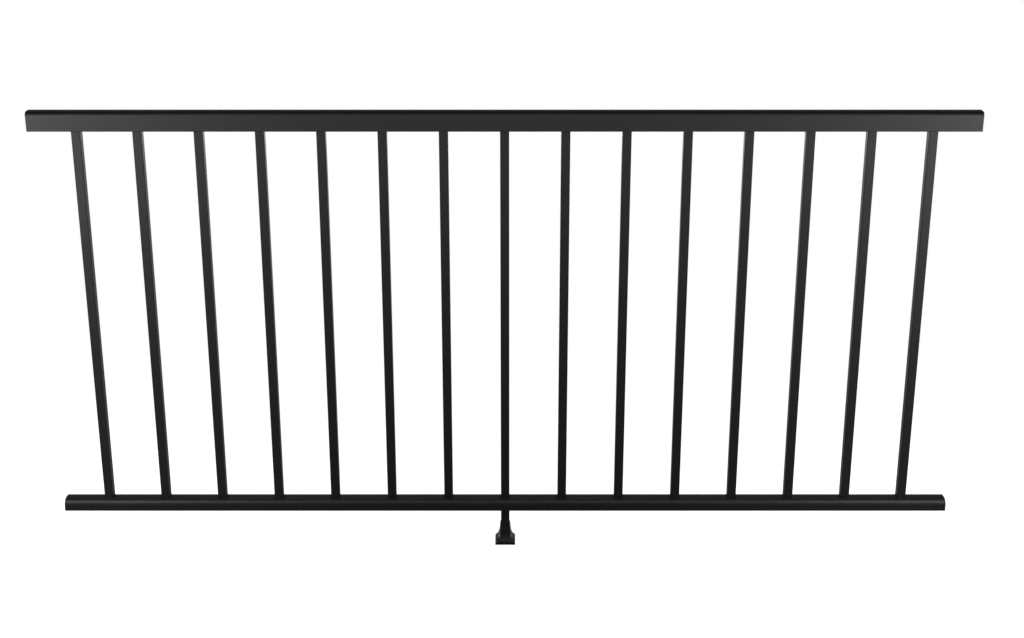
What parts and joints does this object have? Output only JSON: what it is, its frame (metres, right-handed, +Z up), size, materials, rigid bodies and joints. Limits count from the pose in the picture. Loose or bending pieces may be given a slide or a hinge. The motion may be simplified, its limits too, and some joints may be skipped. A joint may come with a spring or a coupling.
{
  "type": "deck railing section",
  "caption": "Straight deck railing section: crowned top rail and rounded bottom rail joined by a row of square balusters, with a flared centre foot.",
  "frame": {"origin": "centre of the foot boot's flat base, on the deck, midway along the section", "axes": "+X along the rails to the right of the front view, -Y towards the front, +Z up"},
  "size_m": [1.8288, 0.0418, 0.9094],
  "materials": {
    "powder_coat": "satin black powder coat on extruded aluminium",
    "boot": "satin black moulded plastic"
  },
  "bodies": {
    "root": {"top_rail": "powder_coat", "bottom_rail": "powder_coat", "baluster_01": "powder_coat", "baluster_02": "powder_coat", "baluster_03": "powder_coat", "baluster_04": "powder_coat", "baluster_05": "powder_coat", "baluster_06": "powder_coat", "baluster_07": "powder_coat", "baluster_08": "powder_coat", "baluster_09": "powder_coat", "baluster_10": "powder_coat", "baluster_11": "powder_coat", "baluster_12": "powder_coat", "baluster_13": "powder_coat", "baluster_14": "powder_coat", "baluster_15": "powder_coat", "foot_post": "powder_coat", "foot_boot": "boot"}
  },
  "joints": []
}
